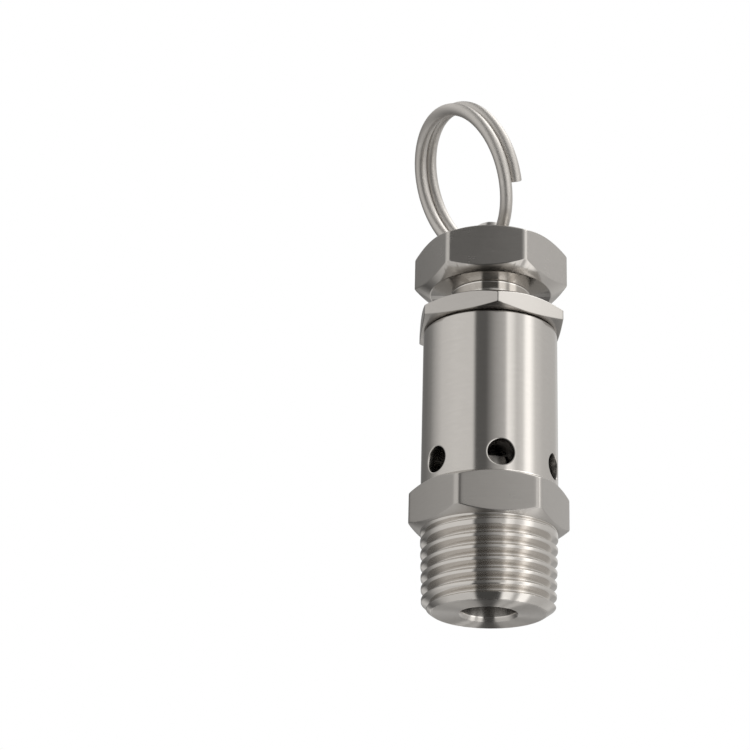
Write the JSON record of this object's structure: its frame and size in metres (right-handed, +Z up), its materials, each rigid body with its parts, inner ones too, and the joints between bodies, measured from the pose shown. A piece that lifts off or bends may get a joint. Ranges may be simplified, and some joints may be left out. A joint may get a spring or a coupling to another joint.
{
  "type": "pressure relief valve",
  "caption": "Spring-loaded pressure relief valve with a tapered male inlet thread, a vented barrel, a lock nut, a hexagonal adjusting cap and a split pull ring.",
  "frame": {"origin": "centre of the inlet end face, on the valve's axis", "axes": "+Z up the valve's axis from the inlet to the pull ring; +X to the right in the view that shows the ring leaning left"},
  "size_m": [0.0252, 0.0276, 0.0842],
  "materials": {
    "body_steel": "turned and satin stainless steel",
    "nut_steel": "satin stainless steel",
    "cap_steel": "satin stainless steel",
    "stem_steel": "turned stainless steel",
    "ring_wire": "drawn stainless wire",
    "spring_wire": "drawn spring wire",
    "seal_rubber": "black fluoroelastomer"
  },
  "bodies": {
    "body": {"valve_body": "body_steel"},
    "lock_nut": {"lock_nut": "nut_steel"},
    "setting_seat": {"upper_spring_seat": "stem_steel", "spring": "spring_wire"},
    "adjusting_screw": {"adjusting_screw": "cap_steel"},
    "lift_train": {"lifting_stem": "stem_steel", "disc_holder": "stem_steel", "seat_seal": "seal_rubber", "seal_washer": "stem_steel", "seal_screw": "stem_steel", "stem_pin": "stem_steel", "lower_spring_seat": "stem_steel"},
    "pull_ring": {"pull_ring": "ring_wire"}
  },
  "joints": [
    {"name": "lift", "type": "slide", "parent": "body", "child": "lift_train", "axis": [0, 0, 1], "range_m": [0, 0.0022], "stiffness_N_per_m": 17000, "springref_m": -0.0023, "deforming": ["spring"]},
    {"name": "ring_swing", "type": "hinge", "parent": "lift_train", "child": "pull_ring", "pos_m": [0, 0, 0.06165], "axis": [0.4772, -0.8788, 0], "range_deg": [-84, 17]},
    {"name": "set_travel", "type": "slide", "parent": "body", "child": "setting_seat", "axis": [0, 0, 1], "range_m": [-0.002, 0], "deforming": ["spring"]},
    {"name": "set_turn", "type": "hinge", "parent": "setting_seat", "child": "adjusting_screw", "pos_m": [0, 0, 0.0565], "axis": [0, 0, 1], "range_deg": [-720, 0]},
    {"name": "lock_nut_turn", "type": "hinge", "parent": "body", "child": "lock_nut", "pos_m": [0, 0, 0.0475], "axis": [0, 0, 1], "range_deg": [0, 60]}
  ],
  "couplings": [
    {"joint": "set_turn", "follows": "set_travel", "rad_per_m": 6283.2}
  ]
}
